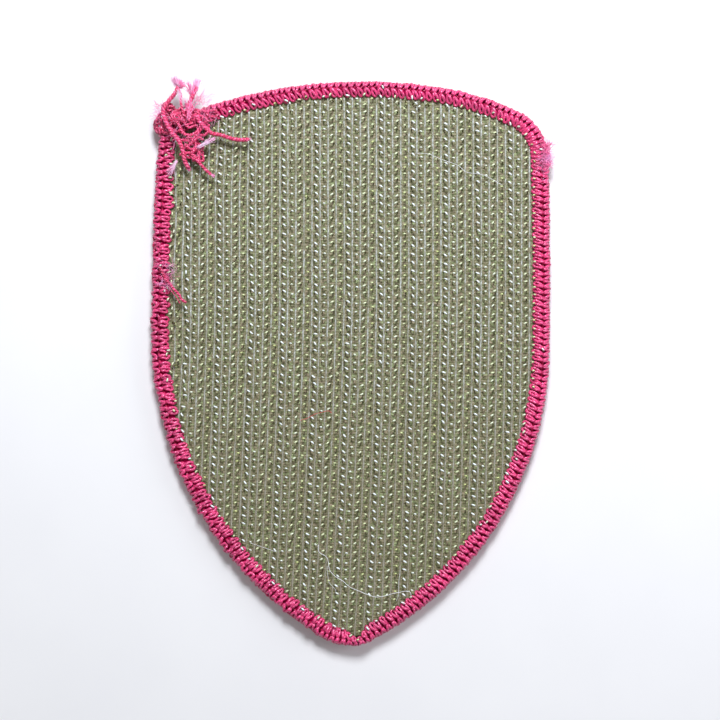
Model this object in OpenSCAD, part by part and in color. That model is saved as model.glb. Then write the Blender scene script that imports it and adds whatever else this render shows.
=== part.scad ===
// Hook side of a shield-shaped hook-and-loop patch, lying hook side up.
// X runs across the shield, Y up to its arched top edge, and Z out of the hooks.
// The origin is on the underside, in the middle of the outline's box.

/* [Outline] */
// Radius of the rounded point at the foot of the shield
point_r = 9.75; // [9.5:0.05:10]
// Radius of the flank that rises from the point on the right
right_flank_r = 63; // [62:0.5:64]
// Radius of the flank that rises from the point on the left
left_flank_r = 67.5; // [66.5:0.5:68.5]
// Radius of the nearly straight side on the right
right_side_r = 850; // [830:10:870]
// Radius of the nearly straight side on the left
left_side_r = 540; // [530:5:550]
// Radius of the wide corner on the right
right_corner_r = 10; // [9.5:0.1:10.5]
// Radius of the shoulder between that corner and the top edge
shoulder_r = 54; // [52:0.5:56]
// Radius of the tighter corner on the left
left_corner_r = 3.5; // [3.4:0.1:4]
// Radius of the arched top edge
top_r = 94; // [92:0.5:96]
// How much the border narrows where its two flanks meet at the point, as a share of its width
notch = 0.55; // [0:0.05:0.6]

/* [Cloth] */
// Thickness of the face cloth
face_t = 1.3; // [1.2:0.1:1.6]
// Thickness of the woven ground of the hook tape
tape_t = 0.9; // [0.8:0.1:1.2]

/* [Hooks] */
// Distance from one column of hooks to the next
column_pitch = 1.53; // [1.4:0.01:1.7]
// Width of one column of hooks
column_w = 0.95; // [0.8:0.05:1.1]
// Place of the middle column across the shield
column_shift = -0.5; // [-0.7:0.05:0.7]
// Height of the hooks over the woven ground
hook_h = 1.3; // [1.2:0.1:1.6]
// Thickness of the web of hook feet that lies on the ground
web_t = 0.25; // [0.2:0.05:0.4]

/* [Border] */
// Width of the stitched border, seen from above
border_w = 3.1; // [3:0.1:3.3]
// Thickness of the thread over and under the cloth's edge
lip_t = 0.7; // [0.6:0.05:0.9]
// Distance that the stitches reach past the cut edge of the cloth
wrap_w = 1; // [0.9:0.1:1.2]

/* [Tail] */
// Thickness of the twisted thread that the tail is tied from
thread_d = 1; // [0.8:0.1:1.2]

/* [Hidden] */

// Soft pieces lie this far apart where no flat faces meet
gap = 0.3;
// Under the border the face cloth is pressed up by the thread below it
tongue_z = 0.5;
ground_z = face_t;
web_z = face_t + tape_t;
hook_top = web_z + hook_h;
border_top = web_z + lip_t;

// The edge of the shield, anticlockwise from its point, as arcs that run smoothly into each other.
// A row is the arc's radius, the angle that it turns through and the steps that it is drawn in.
// The two rows of radius 0 are straight runs, and their lengths are worked out to close the edge.
R = 0;
TURN = 1;
STEPS = 2;
EDGE = [
    [point_r, 62.5, 16],
    [0, 0, 1],
    [right_flank_r, 59, 20],
    [right_side_r, 2.5, 6],
    [right_corner_r, 63, 9],
    [shoulder_r, 16.5, 6],
    [top_r, 32, 16],
    [left_corner_r, 63, 9],
    [left_side_r, 4, 8],
    [left_flank_r, 57.5, 20],
    [0, 0, 1],
];
FIRST_RUN = 1;
LAST_RUN = 10;
// Direction of the edge as it comes into the point
start_heading = -32.5;
// Where the border is notched: its middle and its half length, as shares of the point's arc
NOTCH_AT = 0.69;
NOTCH_HALF = 0.28;

function along(a) = [cos(a), sin(a)];
function inward(a) = [-sin(a), cos(a)];
function heading(i) = i == 0 ? start_heading : heading(i - 1) + EDGE[i - 1][TURN];
function arc_step(i) = EDGE[i][R] * (inward(heading(i)) - inward(heading(i) + EDGE[i][TURN]));
function total_step(i = 0) = i == len(EDGE) ? [0, 0] : arc_step(i) + total_step(i + 1);

// Lengths of the two straight runs, from the sum of all the arcs
first_dir = along(heading(FIRST_RUN));
last_dir = along(heading(LAST_RUN));
first_run = cross(-total_step(), last_dir) / cross(first_dir, last_dir);
last_run = cross(first_dir, -total_step()) / cross(first_dir, last_dir);

function run_step(i) = i == FIRST_RUN ? first_run * first_dir : i == LAST_RUN ? last_run * last_dir : [0, 0];
function row_start(i) = i == 0 ? [0, 0] : row_start(i - 1) + arc_step(i - 1) + run_step(i - 1);

// Places along the edge, each a point on it, the direction of the edge there and the border's reach inward
function reach(i, t) = i > 0 ? 1 : 1 - notch * max(0, 1 - abs(t - NOTCH_AT) / NOTCH_HALF);
STATIONS = [
    for (i = [0 : len(EDGE) - 1])
        for (s = [0 : EDGE[i][STEPS] - 1])
            let (
                a = heading(i) + EDGE[i][TURN] * s / EDGE[i][STEPS],
                centre = row_start(i) + EDGE[i][R] * inward(heading(i))
            )
            [centre - EDGE[i][R] * inward(a), a, reach(i, s / EDGE[i][STEPS])]
];
xs = [for (s = STATIONS) s[0][0]];
ys = [for (s = STATIONS) s[0][1]];
middle = [(min(xs) + max(xs)) / 2, (min(ys) + max(ys)) / 2];

// The edge moved inward by a distance
function edge(inset) = [for (s = STATIONS) s[0] - middle + inset * s[2] * inward(s[1])];

module sheet(inset, z, t) {
    translate([0, 0, z])
        linear_extrude(t)
            polygon(edge(inset));
}

// Face of the patch: plain twill, flush with the border in the middle and thinner inside the stitches
module face_cloth() {
    color("crimson") {
        sheet(wrap_w + gap, tongue_z, face_t - tongue_z);
        sheet(border_w + gap, 0, face_t);
    }
}

// Woven nylon ground of the hook tape, sewn in under the border with the face cloth
module hook_tape() {
    color("darkolivegreen")
        sheet(wrap_w + gap, ground_z, tape_t);
}

// Columns of hooks, standing on the web of their feet. They run straight down from the top, and from
// LEAN_START they curve to the left, the ones on the right less than the others.
LEAN_START = 12;
LEAN = 0.0224;
LEAN_GROWTH = 0.000336;
LEAN_EASE = 0.016;
column_count = floor((max(xs) - min(xs)) / column_pitch / 2);
column_l = max(ys) - min(ys);
column_ys = [column_l / 2, for (y = [LEAN_START : -10 : -column_l / 2]) y, -column_l / 2];

function lean(x, y) =
    let (down = max(0, LEAN_START - y))
    -(LEAN * down + LEAN_GROWTH * pow(down, 2)) * (1 - LEAN_EASE * max(0, x));

module column(x) {
    side = [for (y = column_ys) [x + lean(x, y), y]];
    polygon([
        for (p = side) p - [column_w / 2, 0],
        for (i = [len(side) - 1 : -1 : 0]) side[i] + [column_w / 2, 0],
    ]);
}

module hook_field() {
    color("darkkhaki") {
        sheet(border_w + gap, web_z, web_t);
        intersection() {
            sheet(border_w + gap, web_z, hook_h);
            for (c = [-column_count : column_count])
                translate([0, 0, web_z])
                    linear_extrude(hook_h)
                        column(c * column_pitch + column_shift);
        }
    }
}

// Section of the border from its inner lip over the top and the outside to the lip underneath.
// A row is the distance in from the outer edge and the height.
border_mid = border_top / 2;
SECTION = [
    [border_w, web_z],
    [border_w, web_z + lip_t / 2],
    [border_w - 0.4, border_top - 0.1],
    [border_w - 1, border_top],
    [1, border_top],
    [0.4, border_top - 0.4],
    [0.1, border_mid + 0.7],
    [0, border_mid],
    [0.1, border_mid - 0.7],
    [0.4, 0.4],
    [1, 0],
    [border_w - 0.6, 0],
    [border_w, tongue_z / 2],
    [border_w, tongue_z],
    [wrap_w, tongue_z],
    [wrap_w, web_z],
];

// Overlock stitches that wrap the cut edges, as one closed ring with a slot for the cloth
module stitched_border() {
    rings = len(STATIONS);
    sides = len(SECTION);
    points = [
        for (s = STATIONS)
            for (p = SECTION)
                let (at = s[0] - middle + p[0] * s[2] * inward(s[1]))
                [at[0], at[1], p[1]]
    ];
    faces = [
        for (i = [0 : rings - 1])
            for (j = [0 : sides - 1])
                let (
                    here = i * sides,
                    next = ((i + 1) % rings) * sides,
                    k = (j + 1) % sides
                )
                each [
                    [here + j, here + k, next + j],
                    [here + k, next + k, next + j],
                ]
    ];
    color("mediumvioletred")
        polyhedron(points, faces);
}

// Routes of the tail's strands, each point chosen by hand, and the thickness of each strand
KNOT_STRANDS = [
    // Long end, from its frayed tip down over the corner to its cut end on the hooks
    [1.15, [
        [-32.6, 53.9, 4.2], [-34.2, 50.9, 4.4], [-35.4, 47.9, 4.4], [-35.2, 45.1, 4.6],
        [-33.6, 42.7, 4.8], [-32.2, 40.3, 4.8], [-31.4, 38.3, 4.6], [-30.6, 36.5, 4.2],
    ]],
    // Frayed tuft over the top edge
    [1, [[-29, 53.3, 4.2], [-29.6, 50.5, 4.4], [-30.4, 48.1, 4.8], [-30.6, 45.9, 4.8]]],
    // Tail that points right across the hooks
    [1, [[-28.4, 45.3, 4.8], [-26.6, 43.7, 4.4], [-24.4, 42.9, 4.1], [-22.2, 42.5, 4.1], [-19.6, 42.5, 4.1]]],
    // Tail that points down to the right
    [0.9, [[-30.4, 40.3, 4.6], [-28.6, 38.3, 4.2], [-27.4, 36.9, 4.1], [-26.2, 35.5, 4.1]]],
    // Pale tip that points up to the right
    [0.9, [[-31.4, 39.3, 4.8], [-29, 40.5, 4.8], [-27.4, 41.3, 4.5], [-26, 42.5, 4.3]]],
    // Loop round the hole in the middle of the knot
    [1, [[-33, 45.1, 4.4], [-31.8, 43.3, 4.4], [-29.8, 42.7, 4.4], [-28.4, 44.1, 4.4], [-28.6, 45.7, 4.4]]],
];
// Rounded lumps of wound thread: middle, and half sizes along X, Y and Z
KNOT_LUMPS = [
    [[-33.4, 46.3, 3.6], [1.9, 1.8, 1.5]],
    [[-29.4, 46.3, 3.8], [2.6, 1.7, 1.6]],
    [[-27.4, 45.9, 3.8], [1.7, 1.5, 1.2]],
    [[-29.6, 40.7, 4], [1.9, 1.4, 1]],
    [[-30.4, 38.9, 4], [1.6, 1, 0.9]],
    [[-36.2, 45.9, 3], [1.2, 2, 1.3]],
];
strand_sides = 10;
lump_sides = 14;

module bead(p, d) {
    translate(p)
        sphere(d = d, $fn = strand_sides);
}

module strand(d, route) {
    for (i = [0 : len(route) - 2])
        hull() {
            bead(route[i], d * thread_d);
            bead(route[i + 1], d * thread_d);
        }
}

module lump(p, half) {
    translate(p)
        scale(half)
            sphere(r = 1, $fn = lump_sides);
}

// Frayed, knotted end of the border thread, resting flat on the border and on the hooks
module knotted_tail() {
    color("palevioletred")
        difference() {
            union() {
                for (s = KNOT_STRANDS)
                    strand(s[0], s[1]);
                for (l = KNOT_LUMPS)
                    lump(l[0], l[1]);
            }
            sheet(-2 * border_w, 0, border_top);
            sheet(border_w, 0, hook_top);
        }
}

face_cloth();
hook_tape();
hook_field();
stitched_border();
knotted_tail();
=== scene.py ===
import math

import bmesh
import bpy
import numpy as np
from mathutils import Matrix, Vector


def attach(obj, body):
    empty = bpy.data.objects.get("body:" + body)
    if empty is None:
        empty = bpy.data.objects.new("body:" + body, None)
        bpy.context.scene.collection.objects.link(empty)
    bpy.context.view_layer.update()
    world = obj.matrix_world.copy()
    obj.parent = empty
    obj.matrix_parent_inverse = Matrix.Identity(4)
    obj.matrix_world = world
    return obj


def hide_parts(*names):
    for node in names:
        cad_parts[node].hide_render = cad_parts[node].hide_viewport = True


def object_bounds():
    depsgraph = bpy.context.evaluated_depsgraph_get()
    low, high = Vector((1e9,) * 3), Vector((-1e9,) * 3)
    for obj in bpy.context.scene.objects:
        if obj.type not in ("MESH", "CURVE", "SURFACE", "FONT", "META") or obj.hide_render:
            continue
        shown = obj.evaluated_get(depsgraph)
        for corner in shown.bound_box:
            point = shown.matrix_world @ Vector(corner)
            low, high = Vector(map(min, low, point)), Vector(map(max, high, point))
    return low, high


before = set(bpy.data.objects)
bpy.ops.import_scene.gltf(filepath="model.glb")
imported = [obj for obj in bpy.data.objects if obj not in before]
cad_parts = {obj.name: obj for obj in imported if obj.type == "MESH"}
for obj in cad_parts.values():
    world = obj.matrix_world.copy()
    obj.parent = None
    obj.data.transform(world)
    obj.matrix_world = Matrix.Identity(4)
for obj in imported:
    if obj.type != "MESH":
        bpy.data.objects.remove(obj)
CAD_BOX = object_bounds()
# Sizes are written in mm, and turned into metres where a mesh or a pattern is made
MM = 0.001
rng = np.random.default_rng(7)


# Light, camera and floor. The patch lies hook side up on a plain pale table in front of a window,
# and is seen from straight above. The window is beyond its arched top edge.
VIEW_WIDTH = 137.5
CAMERA_HEIGHT = 380
CAMERA_X = 1.73
CAMERA_Y = 0.64
FLOOR_SIZE = 1200
SENSOR = 36
WORLD_LIGHT = 0.24

scene = bpy.context.scene
scene.view_settings.view_transform = "Standard"
camera_data = bpy.data.cameras.new("camera")
camera_data.sensor_width = SENSOR
camera_data.lens = SENSOR * CAMERA_HEIGHT / VIEW_WIDTH
camera = bpy.data.objects.new("camera", camera_data)
camera.location = (CAMERA_X * MM, CAMERA_Y * MM, CAMERA_HEIGHT * MM)
scene.collection.objects.link(camera)
scene.camera = camera


def area_light(name, place, size, power, colour):
    """A square soft light at a place in metres, turned towards the patch."""
    data = bpy.data.lights.new(name, "AREA")
    data.size = size
    data.energy = power
    data.color = colour
    lamp = bpy.data.objects.new(name, data)
    lamp.location = place
    lamp.rotation_mode = "QUATERNION"
    lamp.rotation_quaternion = (-lamp.location).to_track_quat("-Z", "Y")
    scene.collection.objects.link(lamp)


area_light("window_light", (0.02, 0.27, 0.30), 0.12, 2.2, (0.92, 0.95, 1.0))
area_light("side_light", (0.36, 0.04, 0.2), 0.2, 0.55, (0.95, 0.93, 1.0))
area_light("room_light", (-0.3, -0.35, 0.5), 0.5, 0.6, (1.0, 0.93, 0.85))

world = bpy.data.worlds.new("room")
world.use_nodes = True
world.node_tree.nodes["Background"].inputs["Color"].default_value = (0.9, 0.93, 1.0, 1)
world.node_tree.nodes["Background"].inputs["Strength"].default_value = WORLD_LIGHT
scene.world = world


class Wire:
    """A shader socket, on which Python's operators add Math nodes."""

    def __init__(self, finish, socket):
        self.finish = finish
        self.socket = socket

    def maths(self, operation, *values):
        return self.finish.node("ShaderNodeMath", {"operation": operation}, dict(enumerate(values)))

    def __add__(self, other):
        return self.maths("ADD", self, other)

    def __sub__(self, other):
        return self.maths("SUBTRACT", self, other)

    def __rsub__(self, other):
        return self.maths("SUBTRACT", other, self)

    def __mul__(self, other):
        return self.maths("MULTIPLY", self, other)

    __radd__ = __add__
    __rmul__ = __mul__

    def wave(self):
        """Sine of the value, from 0 to 1."""
        return self.maths("SINE", self) * 0.5 + 0.5

    def ramp(self, low, high):
        """0 below low, 1 above high, and smooth between them."""
        settings = {"interpolation_type": "SMOOTHSTEP"}
        return self.finish.node("ShaderNodeMapRange", settings, {0: self, 1: low, 2: high})


class Finish:
    """A material and the nodes of its pattern."""

    def __init__(self, name, **constants):
        self.material = bpy.data.materials.new(name)
        self.material.use_nodes = True
        self.tree = self.material.node_tree
        self.shader = self.tree.nodes["Principled BSDF"]
        for socket, value in constants.items():
            self.shader.inputs[socket.replace("_", " ")].default_value = value

    def node(self, kind, settings=None, sockets=None, out=0):
        """Adds a node: its settings, then the values or wires of its sockets. Gives one output."""
        made = self.tree.nodes.new(kind)
        for key, value in (settings or {}).items():
            setattr(made, key, value)
        for key, value in (sockets or {}).items():
            if isinstance(value, Wire):
                self.tree.links.new(value.socket, made.inputs[key])
            else:
                made.inputs[key].default_value = value
        return Wire(self, made.outputs[out])

    def place(self):
        return self.node("ShaderNodeTexCoord", out="Object")

    def axes(self, vector):
        """The X, Y and Z of a vector, as three wires."""
        split = self.node("ShaderNodeSeparateXYZ", None, {0: vector}).socket.node
        return [Wire(self, split.outputs[i]) for i in range(3)]

    def noise(self, vector, scale, detail=2.0, roughness=0.5):
        sockets = {"Vector": vector, "Scale": scale, "Detail": detail, "Roughness": roughness}
        return self.node("ShaderNodeTexNoise", None, sockets)

    def attribute(self, name):
        return self.node("ShaderNodeAttribute", {"attribute_name": name}, out="Fac")

    def mix(self, share, first, second):
        """Colour mix: the share of the second colour, from 0 to 1."""
        settings = {"data_type": "RGBA"}
        return self.node("ShaderNodeMix", settings, {0: share, 6: first, 7: second}, out=2)

    def bump(self, height, distance, strength=1.0):
        sockets = {"Height": height, "Distance": distance, "Strength": strength}
        return self.node("ShaderNodeBump", None, sockets)

    def feed(self, **wires):
        for socket, wire in wires.items():
            self.tree.links.new(wire.socket, self.shader.inputs[socket.replace("_", " ")])

    def cover(self, *pieces):
        for piece in pieces:
            piece.data.materials.clear()
            piece.data.materials.append(self.material)


def deselect():
    for thing in bpy.context.selected_objects:
        thing.select_set(False)


deselect()
bpy.ops.mesh.primitive_plane_add(size=FLOOR_SIZE * MM)
floor = bpy.context.object
floor.name = "table_top"
table_finish = Finish("pale_table", Roughness=0.75)
table_grain = table_finish.noise(table_finish.place(), 40.0, 3.0)
table_finish.feed(Base_Color=table_finish.mix(table_grain, (0.74, 0.74, 0.75, 1), (0.8, 0.8, 0.8, 1)))
table_finish.cover(floor)


# Face cloth: plain crimson twill, which lies underneath. Its middle is flush with the border, and
# its margin is pressed up and caught inside the stitches.
FACE_TOP = 1.3
MARGIN_Z = 0.5
MARGIN_INSET = 1.3
MIDDLE_INSET = 3.4
MIDDLE_BEVEL = 0.25
FACE_POINTS = 240
SMOOTH_ANGLE = 40
TWILL_PITCH = 0.45
# The edge to which both cloths are cut: arcs that run smoothly into each other, anticlockwise from
# the point, each a radius and the degrees that it turns through. Radius 0 is a straight run
EDGE_ARCS = (
    (9.75, 62.5), (0, 0), (63, 59), (850, 2.5), (10, 63), (54, 16.5), (94, 32), (3.5, 63), (540, 4),
    (67.5, 57.5), (0, 0),
)
START_HEADING = -32.5
EDGE_STEP = 0.2
DEPTH_STRIDE = 3
# The border narrows where its two flanks meet at the point: by how much, where on the point's arc,
# and over how much of it
NOTCH = 0.55
NOTCH_AT = 0.69
NOTCH_HALF = 0.28
TIP_LENGTH = EDGE_ARCS[0][0] * math.radians(EDGE_ARCS[0][1])


def along(angle):
    return np.stack((np.cos(angle), np.sin(angle)), -1)


def inward(angle):
    return np.stack((-np.sin(angle), np.cos(angle)), -1)


def trace_edge():
    """Distance along the edge, place and heading in radians, at close steps."""
    headings = np.radians(START_HEADING + np.cumsum([0] + [turn for _, turn in EDGE_ARCS]))
    steps = [r * (inward(a) - inward(b)) for (r, _), a, b in zip(EDGE_ARCS, headings, headings[1:])]
    runs = [i for i, (r, _) in enumerate(EDGE_ARCS) if r == 0]
    directions = np.stack([along(headings[i]) for i in runs], -1)
    run_lengths = np.linalg.solve(directions, -sum(steps))
    at = np.zeros(2)
    done = 0
    rows = []
    for i, (r, turn) in enumerate(EDGE_ARCS):
        length = run_lengths[runs.index(i)] if i in runs else r * math.radians(turn)
        s = np.linspace(0, length, max(2, round(length / EDGE_STEP)), endpoint=False)
        angle = headings[i] + (s / r if r else 0 * s)
        if r:
            places = at + r * (inward(headings[i]) - inward(angle))
            at = at + steps[i]
        else:
            places = at + s[:, None] * along(headings[i])
            at = at + length * along(headings[i])
        rows.append(np.column_stack((done + s, places, angle)))
        done += length
    return np.vstack(rows), done


EDGE_ROWS, EDGE_LENGTH = trace_edge()
EDGE_ROWS[:, 1:3] -= (EDGE_ROWS[:, 1:3].min(0) + EDGE_ROWS[:, 1:3].max(0)) / 2
EDGE_ROWS = np.vstack((EDGE_ROWS, EDGE_ROWS[0] + (EDGE_LENGTH, 0, 0, 2 * math.pi)))


def reach(s):
    """The share of its full width that the border has at distances s along the edge."""
    return 1 - NOTCH * np.clip(1 - np.abs(s / TIP_LENGTH - NOTCH_AT) / NOTCH_HALF, 0, 1)


def on_edge(s, inset, z):
    """Points at distances s along the edge, a distance in from it and at a height, all in mm."""
    s = np.mod(s, EDGE_LENGTH)
    x, y, angle = (np.interp(s, EDGE_ROWS[:, 0], EDGE_ROWS[:, i]) for i in (1, 2, 3))
    flat = np.stack((x, y), -1) + (inset * reach(s))[..., None] * inward(angle)
    return np.concatenate((flat, np.broadcast_to(z, flat.shape[:-1])[..., None]), -1)


def depth(points):
    """How far each point lies in from the edge, in mm. The shield is convex, so the nearest side tells."""
    rows = EDGE_ROWS[::DEPTH_STRIDE]
    ways = inward(rows[:, 3])
    far = points[:, :2] @ ways.T - (rows[:, 1:3] * ways).sum(1)
    nearest = far.argmin(1)
    return far[np.arange(len(far)), nearest] / reach(rows[nearest, 0])


def sorted_faces(mesh):
    """A mesh's faces in the order of their points, which is the same in every run."""
    return sorted(list(p.vertices) for p in mesh.polygons)


deselect()
bpy.ops.mesh.primitive_circle_add(vertices=FACE_POINTS, fill_type="NGON", location=(0, 0, 0))
face = bpy.context.object
face.name = "twill_face"
around = np.arange(FACE_POINTS) / FACE_POINTS * EDGE_LENGTH
margin = on_edge(around, np.full(FACE_POINTS, MARGIN_INSET), FACE_TOP)
for vertex, point in zip(face.data.vertices, margin):
    vertex.co = point * MM
bpy.ops.object.mode_set(mode="EDIT")
bpy.ops.mesh.select_all(action="SELECT")
bpy.ops.mesh.extrude_region_move(TRANSFORM_OT_translate={"value": (0, 0, (MARGIN_Z - FACE_TOP) * MM)})
bpy.ops.mesh.inset(thickness=(MIDDLE_INSET - MARGIN_INSET) * MM)
bpy.ops.mesh.extrude_region_move(TRANSFORM_OT_translate={"value": (0, 0, -MARGIN_Z * MM)})
bpy.ops.mesh.inset(thickness=MIDDLE_BEVEL * MM)
bpy.ops.mesh.select_all(action="SELECT")
bpy.ops.mesh.normals_make_consistent(inside=False)
bpy.ops.object.mode_set(mode="OBJECT")
face_points = [v.co.copy() for v in face.data.vertices]
face_sides = sorted_faces(face.data)
face.data.clear_geometry()
face.data.from_pydata(face_points, [], face_sides)
bpy.ops.object.shade_smooth_by_angle(angle=math.radians(SMOOTH_ANGLE))
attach(face, "root")
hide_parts("face_cloth")

twill = Finish("crimson_twill", Roughness=0.7, Sheen_Weight=0.3, Sheen_Roughness=0.4)
x, y, _ = twill.axes(twill.place())
rib = ((x + y) * (2 * math.pi / (TWILL_PITCH * MM * math.sqrt(2)))).wave()
cross = ((x - y) * (2 * math.pi / (TWILL_PITCH * MM))).wave()
shade = twill.noise(twill.place(), 60.0, 3.0)
twill_colour = twill.mix(rib * 0.7 + cross * 0.3, (0.2, 0.008, 0.035, 1), (0.46, 0.025, 0.09, 1))
twill.feed(
    Base_Color=twill.mix(shade * 0.35, twill_colour, (0.3, 0.012, 0.05, 1)),
    Normal=twill.bump(rib + cross * 0.35, 0.00012, 0.8),
)
twill.cover(face)


# Ground of the hook tape: olive nylon, woven, sewn in under the border together with the face
# cloth. It is a grid cut to the shield, slightly ridged across by its weft.
COLUMN_PITCH = 1.53
ROW_PITCH = 1.575
ROW_SKEW = -0.03
COLUMN_SHIFT = -0.5
GROUND_TOP = 2.2
GROUND_T = 0.85
GROUND_INSET = 1.5
WEFT_LIFT = 0.05
WEFTS_A_ROW = 3
WEFT_WAVER = 9
CELL_X = COLUMN_PITCH / 2
CELL_Y = ROW_PITCH / 2
GROUND_LENGTH = 108.5
cells = [round(2 * CAD_BOX[1][0] / MM / CELL_X), round(GROUND_LENGTH / CELL_Y)]
# The weave wanders: it leans left towards the point, ever more steeply and less so on the right half
LEAN_FROM_Y = 12
LEAN_SLOPE = 0.0224
LEAN_CURVE = 0.000336
LEAN_EASE = 0.016
# It bends right at the top left corner
CORNER_BEND = 0.6
CORNER_X = -28
CORNER_WIDE = 9
CORNER_FROM_Y = 33
CORNER_RISE = 11
CORNER_MOST = 1.3
# It is crumpled along the left edge
CRUMPLE = 0.25
CRUMPLE_X = -34
CRUMPLE_WIDE = 3.5
CRUMPLE_LONG = 4.3


def near(value, middle, wide):
    """1 at a middle value, falling to 0 on both sides of it."""
    return np.exp(-(((value - middle) / wide) ** 2))


def wander(x, y):
    """How far the weave has shifted sideways at a place."""
    down = np.clip(LEAN_FROM_Y - y, 0, None)
    lean = -(LEAN_SLOPE * down + LEAN_CURVE * down**2) * (1 - LEAN_EASE * np.clip(x, 0, None))
    up = np.clip((y - CORNER_FROM_Y) / CORNER_RISE, 0, CORNER_MOST)
    corner = CORNER_BEND * near(x, CORNER_X, CORNER_WIDE) * up
    crumple = CRUMPLE * np.sin(y / CRUMPLE_LONG + 1) * near(x, CRUMPLE_X, CRUMPLE_WIDE)
    return COLUMN_SHIFT + lean + corner + crumple


deselect()
bpy.ops.mesh.primitive_grid_add(x_subdivisions=cells[0], y_subdivisions=cells[1], size=1)
ground = bpy.context.object
ground.name = "woven_ground"
co = np.empty((len(ground.data.vertices), 3))
ground.data.vertices.foreach_get("co", co.ravel())
co[:, 0] *= cells[0] * CELL_X
co[:, 1] *= cells[1] * CELL_Y
far_in = depth(co)
co[:, 2] = GROUND_TOP + WEFT_LIFT * np.sin(co[:, 1] * 2 * math.pi / ROW_PITCH)
ground.data.vertices.foreach_set("co", (co * MM).ravel())
bpy.ops.object.mode_set(mode="EDIT")
bpy.ops.mesh.select_all(action="DESELECT")
bpy.ops.mesh.select_mode(type="VERT")
bpy.ops.object.mode_set(mode="OBJECT")
ground.data.vertices.foreach_set("select", far_in < GROUND_INSET)
bpy.ops.object.mode_set(mode="EDIT")
bpy.ops.mesh.delete(type="VERT")
bpy.ops.object.mode_set(mode="OBJECT")
backing = ground.modifiers.new("thickness", "SOLIDIFY")
backing.thickness = GROUND_T * MM
backing.offset = -1
bpy.ops.object.modifier_apply(modifier=backing.name)
bpy.ops.object.shade_smooth()
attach(ground, "root")
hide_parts("hook_tape")

weave = Finish("olive_weave", Roughness=0.6, Sheen_Weight=0.1)
spot = weave.place()
y = weave.axes(spot)[1]
weft_turns = 2 * math.pi * WEFTS_A_ROW / (ROW_PITCH * MM)
weft = (y * weft_turns + weave.noise(spot, 500.0) * WEFT_WAVER).wave()
brown = weave.noise(spot, 2600.0).ramp(0.35, 0.65)
olive = weave.mix(brown, (0.12, 0.135, 0.045, 1), (0.29, 0.235, 0.15, 1))
olive = weave.mix(weave.noise(spot, 1500.0, 3.0, 0.6).ramp(0.5, 0.68), olive, (0.29, 0.35, 0.16, 1))
dark = weave.noise(spot, 1900.0).ramp(0.52, 0.3)
weave.feed(
    Base_Color=weave.mix(dark * 0.7 + weft * 0.12, olive, (0.085, 0.075, 0.025, 1)),
    Normal=weave.bump(weft * 0.5 + weave.noise(spot, 3000.0), 0.0001, 0.8),
)
weave.cover(ground)


# Warp ribs: pale cords of the tape's warp that stand between the columns of hooks, pushed up and
# down by the weft. One long strand for each gap between two columns. Its sizes are half sizes.
RIB_WIDE = 0.165
RIB_HIGH = 0.15
RIB_SINK = 0.02
RIB_WAVE = 0.035
RIB_STEP = 0.53
RIB_SIDES = 6
RIB_INSET = 2.9
RIB_MIN_POINTS = 8
RIB_SCATTER = 0.025
RIB_UNEVEN = 0.14
RIB_UNEVEN_MOST = 1.5
RIB_PLY = 0.8
# Painted light on the ribs: paler near the top as a painted sheen, duller towards the point, from the first
# of these places along Y to the second
RIB_PAINTED_SHEEN_Y = (20, -35)
# Half the room in which columns and rows of the tape are laid out
HALF_LENGTH = 54
HALF_WIDTH = 38


def new_piece(name, verts, faces):
    """A mesh object from arrays of points in metres and of faces, riding on the patch."""
    mesh = bpy.data.meshes.new(name)
    mesh.from_pydata(np.asarray(verts).tolist(), [], [list(f) for f in faces])
    mesh.shade_smooth()
    piece = bpy.data.objects.new(name, mesh)
    scene.collection.objects.link(piece)
    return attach(piece, "root")


def carried_up(points):
    """A direction across a free strand at each point, carried along it with no twist."""
    tangents = np.gradient(points, axis=0)
    tangents /= np.linalg.norm(tangents, axis=1)[:, None]
    up = np.cross(tangents[0], (1, 0, 0) if abs(tangents[0][0]) < 0.8 else (0, 1, 0))
    ups = []
    for tangent in tangents:
        up = up - tangent * (up @ tangent)
        up = up / np.linalg.norm(up)
        ups.append(up)
    return np.array(ups)


def tube(points, wide, high, sides, up=None, closed=False):
    """Points, faces and UVs of a strand along a route. Wide and high are half sizes, and may vary
    along it. U runs along the strand in mm and V once round it. Caps close an open strand's ends."""
    points = np.asarray(points, float)
    n = len(points)
    if closed:
        tangents = np.roll(points, -1, 0) - np.roll(points, 1, 0)
    else:
        tangents = np.gradient(points, axis=0)
    tangents /= np.linalg.norm(tangents, axis=1)[:, None]
    up = carried_up(points) if up is None else np.broadcast_to(up, points.shape)
    side = np.cross(tangents, up)
    side /= np.linalg.norm(side, axis=1)[:, None]
    up = np.cross(side, tangents)
    turn = np.arange(sides) / sides * 2 * math.pi
    wide = np.broadcast_to(wide, n)[:, None, None]
    high = np.broadcast_to(high, n)[:, None, None]
    rings = points[:, None] + wide * np.cos(turn)[:, None] * side[:, None]
    rings = rings + high * np.sin(turn)[:, None] * up[:, None]
    verts = rings.reshape(-1, 3)
    last = n if closed else n - 1
    i, j = np.meshgrid(np.arange(last), np.arange(sides), indexing="ij")
    here, there, k = i * sides, (i + 1) % n * sides, (j + 1) % sides
    faces = np.stack((here + j, there + j, there + k, here + k), -1).reshape(-1, 4)
    run = np.concatenate(([0], np.cumsum(np.linalg.norm(np.roll(points, -1, 0) - points, axis=1))))
    u = np.stack((run[i], run[i + 1], run[i + 1], run[i]), -1).reshape(-1)
    v = np.stack((j, j, j + 1, j + 1), -1).reshape(-1) / sides
    faces = faces.tolist()
    uv = np.stack((u, v), -1)
    if not closed:
        faces += [list(range(sides)), [(n - 1) * sides + j for j in reversed(range(sides))]]
        uv = np.vstack((uv, np.zeros((2 * sides, 2))))
    return verts, faces, uv


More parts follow.
